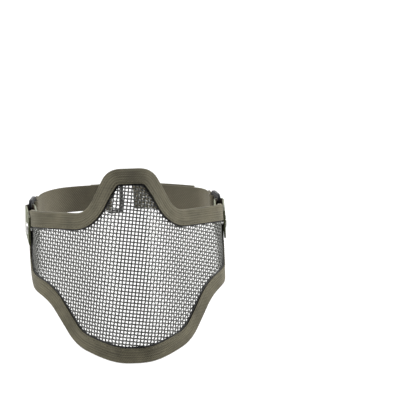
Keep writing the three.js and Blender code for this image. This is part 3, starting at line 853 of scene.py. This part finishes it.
# Sections of the rivet and its washer: distance from the axis, and height along it.
EYELET_PROFILE = [
    (EYELET_BORE, ROLL_FACE + 0.5),
    (EYELET_BORE, FLANGE_FACE - 0.6),
    (EYELET_BORE + 0.15, FLANGE_FACE - 0.18),
    (EYELET_BARREL - 0.05, FLANGE_FACE),
    (EYELET_FLANGE - 1, FLANGE_FACE),
    (EYELET_FLANGE - 0.3, FLANGE_FACE - 0.18),
    (EYELET_FLANGE, FLANGE_FACE - 0.5),
    (EYELET_FLANGE - 0.15, LEAF_FACE + 0.05),
    (EYELET_BARREL, LEAF_FACE),
    (EYELET_BARREL, ROLL_FACE),
    (EYELET_ROLL - 0.3, ROLL_FACE),
    (EYELET_ROLL, ROLL_FACE - 0.35),
    (EYELET_ROLL - 0.3, ROLL_FACE - 0.75),
    (EYELET_BARREL + 0.3, ROLL_FACE - 0.8),
    (EYELET_BORE + 0.2, ROLL_FACE - 0.55),
]
WASHER_PROFILE = [
    (WASHER_BORE, -LEAF_FACE),
    (WASHER_BORE, WASHER_BACK + 0.05),
    (WASHER_BORE + 0.2, WASHER_BACK),
    (EYELET_FLANGE - 0.25, WASHER_BACK),
    (EYELET_FLANGE, WASHER_BACK + 0.15),
    (EYELET_FLANGE, -LEAF_FACE),
]


def turned(name, side, profile, segments=48):
    """A closed ring turned about the rivet axis from (radius, height) points."""
    sections = []
    for step in range(segments):
        angle = step / segments * 2 * math.pi
        sections.append([side.place(r * math.cos(angle), h, r * math.sin(angle)) for r, h in profile])
    return sweep_piece(name, np.array(sections), [METAL_FINISH], closed=True)


def tab_path():
    """Tape from its front end back to the tri-glide bar, round it, and forward again."""
    points = [np.array([x, TAB_CENTRE]) for x in np.linspace(-TAB_FRONT, TAB_BIGHT, 22)]
    for angle in np.linspace(90, -90, 19)[1:-1]:
        points.append(FRONT_BAR + heading(angle) * TAB_CENTRE)
    points += [np.array([x, -TAB_CENTRE]) for x in np.linspace(TAB_BIGHT, -TAB_FRONT, 22)]
    return np.array(points)


for side in (LEFT, RIGHT):
    tab = band(f"{side.name}_tape_tab", side, tab_path(), TAB_THICKNESS, WEBBING_WIDTH,
               [TAPE_FINISH, TAPE_BACK_FINISH])
    bore(tab, side.origin, side.outward, RIVET_CLEAR)
    declare(tab, f"{side.name}_tab_body", "green_tape", f"{side.name}_tab")
    eyelet = turned(f"{side.name}_rolled_eyelet", side, EYELET_PROFILE)
    declare(eyelet, "mask", "silver_metal", f"{side.name}_eyelet")
    washer = turned(f"{side.name}_flat_washer", side, WASHER_PROFILE)
    declare(washer, "mask", "silver_metal", f"{side.name}_eyelet_washer")

for name in ("left_triglide", "right_triglide", "strap_ring"):
    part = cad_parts[name]
    part.data.materials.clear()
    part.data.materials.append(PLASTIC_FINISH)
    rounding = part.modifiers.new("rounding", "BEVEL")
    rounding.width = HARDWARE_ROUNDING * MM
    rounding.segments = 3
    rounding.limit_method = "ANGLE"
    rounding.angle_limit = HARDWARE_SHARP
    rounding.harden_normals = False
    for polygon in part.data.polygons:
        polygon.use_smooth = True
    part.data.set_sharp_from_angle(angle=HARDWARE_SHARP)


# ---------------------------------------------------------------- straps
def loop_round(bar, degrees):
    """Webbing round a bar, from its sewn-down end to where both layers lie together again."""
    points = [
        near(bar, degrees, FLAP_LENGTH, LAYER_OFFSET),
        near(bar, degrees, LOOP_CLOSED, LAYER_OFFSET),
        near(bar, degrees, LOOP_NECK, LOOP_NECK_OFFSET),
    ]
    for turn in range(LOOP_ARC_START, 361 - LOOP_ARC_START, LOOP_ARC_STEP):
        angle = math.radians(turn)
        points.append(near(bar, degrees, LOOP_RADIUS * math.cos(angle), LOOP_RADIUS * math.sin(angle)))
    points.append(near(bar, degrees, LOOP_NECK, -LOOP_NECK_OFFSET))
    points.append(near(bar, degrees, LOOP_CLOSED, -LAYER_OFFSET))
    return points


strap_start = near(REAR_BAR, -TRIGLIDE_INWARD, FLAP_LENGTH, -LAYER_OFFSET)
front_loop = loop_round(REAR_BAR, -TRIGLIDE_INWARD)

# Left strap, with the ring in its rear loop.
left_moves = [(LEFT_STRAP_RUN, -LEFT_STRAP_TURN), (LEFT_STRAP_END, -LEFT_END_TURN)]
left_run, left_angle = pen_walk(strap_start, -TRIGLIDE_INWARD, left_moves)
ring_bar = near(left_run[-1], left_angle, FLAP_LENGTH, LAYER_OFFSET)
rear_loop = [near(ring_bar, left_angle, -point[0], point[1]) for point in loop_round(np.zeros(2), 0)]
left_strap = band("left_webbing", LEFT, smooth_path(front_loop + left_run + rear_loop[::-1]),
                  STRAP_THICKNESS, WEBBING_WIDTH, [WEBBING_FINISH], flutter=0.12)
declare(left_strap, "left_strap_body", "khaki_webbing", "left_strap")

TACK_OUT = LAYER_OFFSET + STRAP_THICKNESS / 2 + THREAD_OUT
TACK_START = FLAP_LENGTH - TACK_INSET
bar_tack("left_front_bar_tack", LEFT,
         lambda x: near(REAR_BAR, -TRIGLIDE_INWARD, TACK_START + x, TACK_OUT),
         "left_strap_body", "left_strap_front_stitch")
bar_tack("left_rear_bar_tack", LEFT,
         lambda x: near(ring_bar, left_angle, -TACK_START - x, TACK_OUT),
         "left_strap_body", "left_strap_rear_stitch")

# Right strap, whose tail folds back over its outside.
right_moves = [(RIGHT_STRAP_RUN, -RIGHT_STRAP_TURN), (TAIL_RUN, -TAIL_TURN)]
right_run, right_angle = pen_walk(strap_start, -TRIGLIDE_INWARD, right_moves)
tail_radius = TAIL_RUN / math.radians(TAIL_TURN)
tail_centre = near(right_run[-1], right_angle, 0, -tail_radius)


def tail_spot(from_fold, out):
    """Plane point at a distance forward from the fold, and outwards from the strap's middle."""
    degrees = right_angle + math.degrees(from_fold / tail_radius)
    return near(tail_centre, degrees, 0, tail_radius + out)


def along_tail(start, end, out, steps=24):
    return [tail_spot(start + (end - start) * step / steps, out) for step in range(steps + 1)]


fold_centre = tail_spot(0, TAIL_FOLD_RADIUS)
fold_spots = {turn: fold_centre + heading(right_angle + turn) * TAIL_FOLD_RADIUS
              for turn in (-60, -30, -FOLD_SLIT, FOLD_SLIT, 30, 60)}
right_path = front_loop + right_run + [fold_spots[-60], fold_spots[-30], fold_spots[-FOLD_SLIT]]
right_strap = band("right_webbing", RIGHT, smooth_path(right_path), STRAP_THICKNESS, WEBBING_WIDTH,
                   [WEBBING_FINISH], flutter=0.12)
declare(right_strap, "right_strap_body", "khaki_webbing", "right_strap")
bar_tack("right_front_bar_tack", RIGHT,
         lambda x: near(REAR_BAR, -TRIGLIDE_INWARD, TACK_START + x, TACK_OUT),
         "right_strap_body", "right_strap_stitch")

tail_path = [fold_spots[FOLD_SLIT], fold_spots[30], fold_spots[60]]
tail_path += along_tail(0, TAIL_LENGTH, 2 * TAIL_FOLD_RADIUS)
tail = band("tail_webbing", RIGHT, smooth_path(tail_path, 3), STRAP_THICKNESS, WEBBING_WIDTH,
            [WEBBING_FINISH])
declare(tail, "tail_body", "khaki_webbing", "tail_flap")
HOOK_OUT = STRAP_THICKNESS / 2 + GAP + PATCH_MIDDLE
for name, out, body, node in (
        ("hook_layer", HOOK_OUT, "right_strap_body", "hook_patch"),
        ("loop_layer", 2 * TAIL_FOLD_RADIUS - HOOK_OUT, "tail_body", "loop_patch")):
    patch_path = along_tail(PATCH_START, PATCH_END, out)
    layer = band(name, RIGHT, patch_path, PATCH_THICKNESS, PATCH_WIDTH, [HOOK_FINISH])
    declare(layer, body, "dark_hook", node)
TAIL_TACK_OUT = 2 * TAIL_FOLD_RADIUS + STRAP_THICKNESS / 2 + THREAD_OUT
bar_tack("tail_bar_tack", RIGHT,
         lambda x: tail_spot(TAIL_LENGTH - TACK_INSET + x, TAIL_TACK_OUT),
         "tail_body", "tail_stitch")

# ---------------------------------------------------------------- stage, light and camera
FLOOR_Z = cad_box[0][2] - 0.09     # metres from here on
FLOOR_FRONT = -3.0
WALL_Y = 2.4
WALL_TOP = 3.5
BACKDROP_HALF_WIDTH = 4
BEND_STEPS = 12
backdrop_bend = [(FLOOR_FRONT, FLOOR_Z)]
for step in range(BEND_STEPS + 1):
    angle = math.radians(step / BEND_STEPS * 90)
    backdrop_bend.append((WALL_Y - 1 + math.sin(angle), FLOOR_Z + 1 - math.cos(angle)))
backdrop_bend.append((WALL_Y, WALL_TOP))
corners = [(x, y, z) for y, z in backdrop_bend for x in (-BACKDROP_HALF_WIDTH, BACKDROP_HALF_WIDTH)]
quads = [(2 * k, 2 * k + 1, 2 * k + 3, 2 * k + 2) for k in range(len(backdrop_bend) - 1)]
backdrop_mesh = bpy.data.meshes.new("backdrop")
backdrop_mesh.from_pydata(corners, [], quads)
backdrop_mesh.shade_smooth()
backdrop = bpy.data.objects.new("backdrop", backdrop_mesh)
bpy.context.scene.collection.objects.link(backdrop)
paper = bpy.data.materials.new("pale_paper")
paper.use_nodes = True
paper_shader = paper.node_tree.nodes["Principled BSDF"]
paper_shader.inputs["Base Color"].default_value = (0.9, 0.9, 0.9, 1)
paper_shader.inputs["Roughness"].default_value = 0.9
paper_shader.inputs["Emission Color"].default_value = (1, 1, 1, 1)
paper_shader.inputs["Emission Strength"].default_value = 0.06
backdrop_mesh.materials.append(paper)

world = bpy.data.worlds.new("studio")
world.use_nodes = True
sky = world.node_tree.nodes["Background"]
sky.inputs["Color"].default_value = (1, 1, 1, 1)
sky.inputs["Strength"].default_value = 0.1
bpy.context.scene.world = world


def softbox(name, place, aim, size, power, spread):
    """An area light of the given size and power, with its spread in degrees."""
    light = bpy.data.lights.new(name, "AREA")
    light.shape = "RECTANGLE"
    light.size, light.size_y = size
    light.energy = power
    light.spread = math.radians(spread)
    lamp = bpy.data.objects.new(name, light)
    lamp.location = place
    lamp.rotation_euler = (Vector(aim) - Vector(place)).to_track_quat("-Z", "Y").to_euler()
    bpy.context.scene.collection.objects.link(lamp)


softbox("key", (1.15, -0.05, 0.7), (0, 0, 0), (0.5, 0.5), 5.6, spread=60)
softbox("fill", (-1.15, -0.05, 0.7), (0, 0, 0), (0.5, 0.5), 4.6, spread=60)
softbox("back_wash", (0, 0.9, 1.5), (0, 2.4, 0.1), (2.5, 0.5), 40, spread=165)

CAMERA_DISTANCE = 1.318            # from the head centre, so 1.2 m from the front of the mask
CAMERA_ROUND = math.radians(2.4)   # a little round to the left of straight ahead
CAMERA_YAW = math.radians(2.95)    # aimed past the mask, which sits left of the middle
CAMERA_PITCH = math.radians(0.87)
CAMERA_ROLL = math.radians(-2)
CAMERA_SENSOR = 36                 # millimetres, as is the lens
CAMERA_LENS = 130.3
camera_data = bpy.data.cameras.new("camera")
camera_data.sensor_width = CAMERA_SENSOR
camera_data.lens = CAMERA_LENS
camera = bpy.data.objects.new("camera", camera_data)
turn = Matrix.Rotation(-CAMERA_ROUND - CAMERA_YAW, 4, "Z")
turn = turn @ Matrix.Rotation(math.radians(90) + CAMERA_PITCH, 4, "X") @ Matrix.Rotation(CAMERA_ROLL, 4, "Z")
spot = (-CAMERA_DISTANCE * math.sin(CAMERA_ROUND), -CAMERA_DISTANCE * math.cos(CAMERA_ROUND), 0)
camera.matrix_world = Matrix.Translation(spot) @ turn
bpy.context.scene.collection.objects.link(camera)
bpy.context.scene.camera = camera
bpy.context.scene.view_settings.view_transform = "Standard"
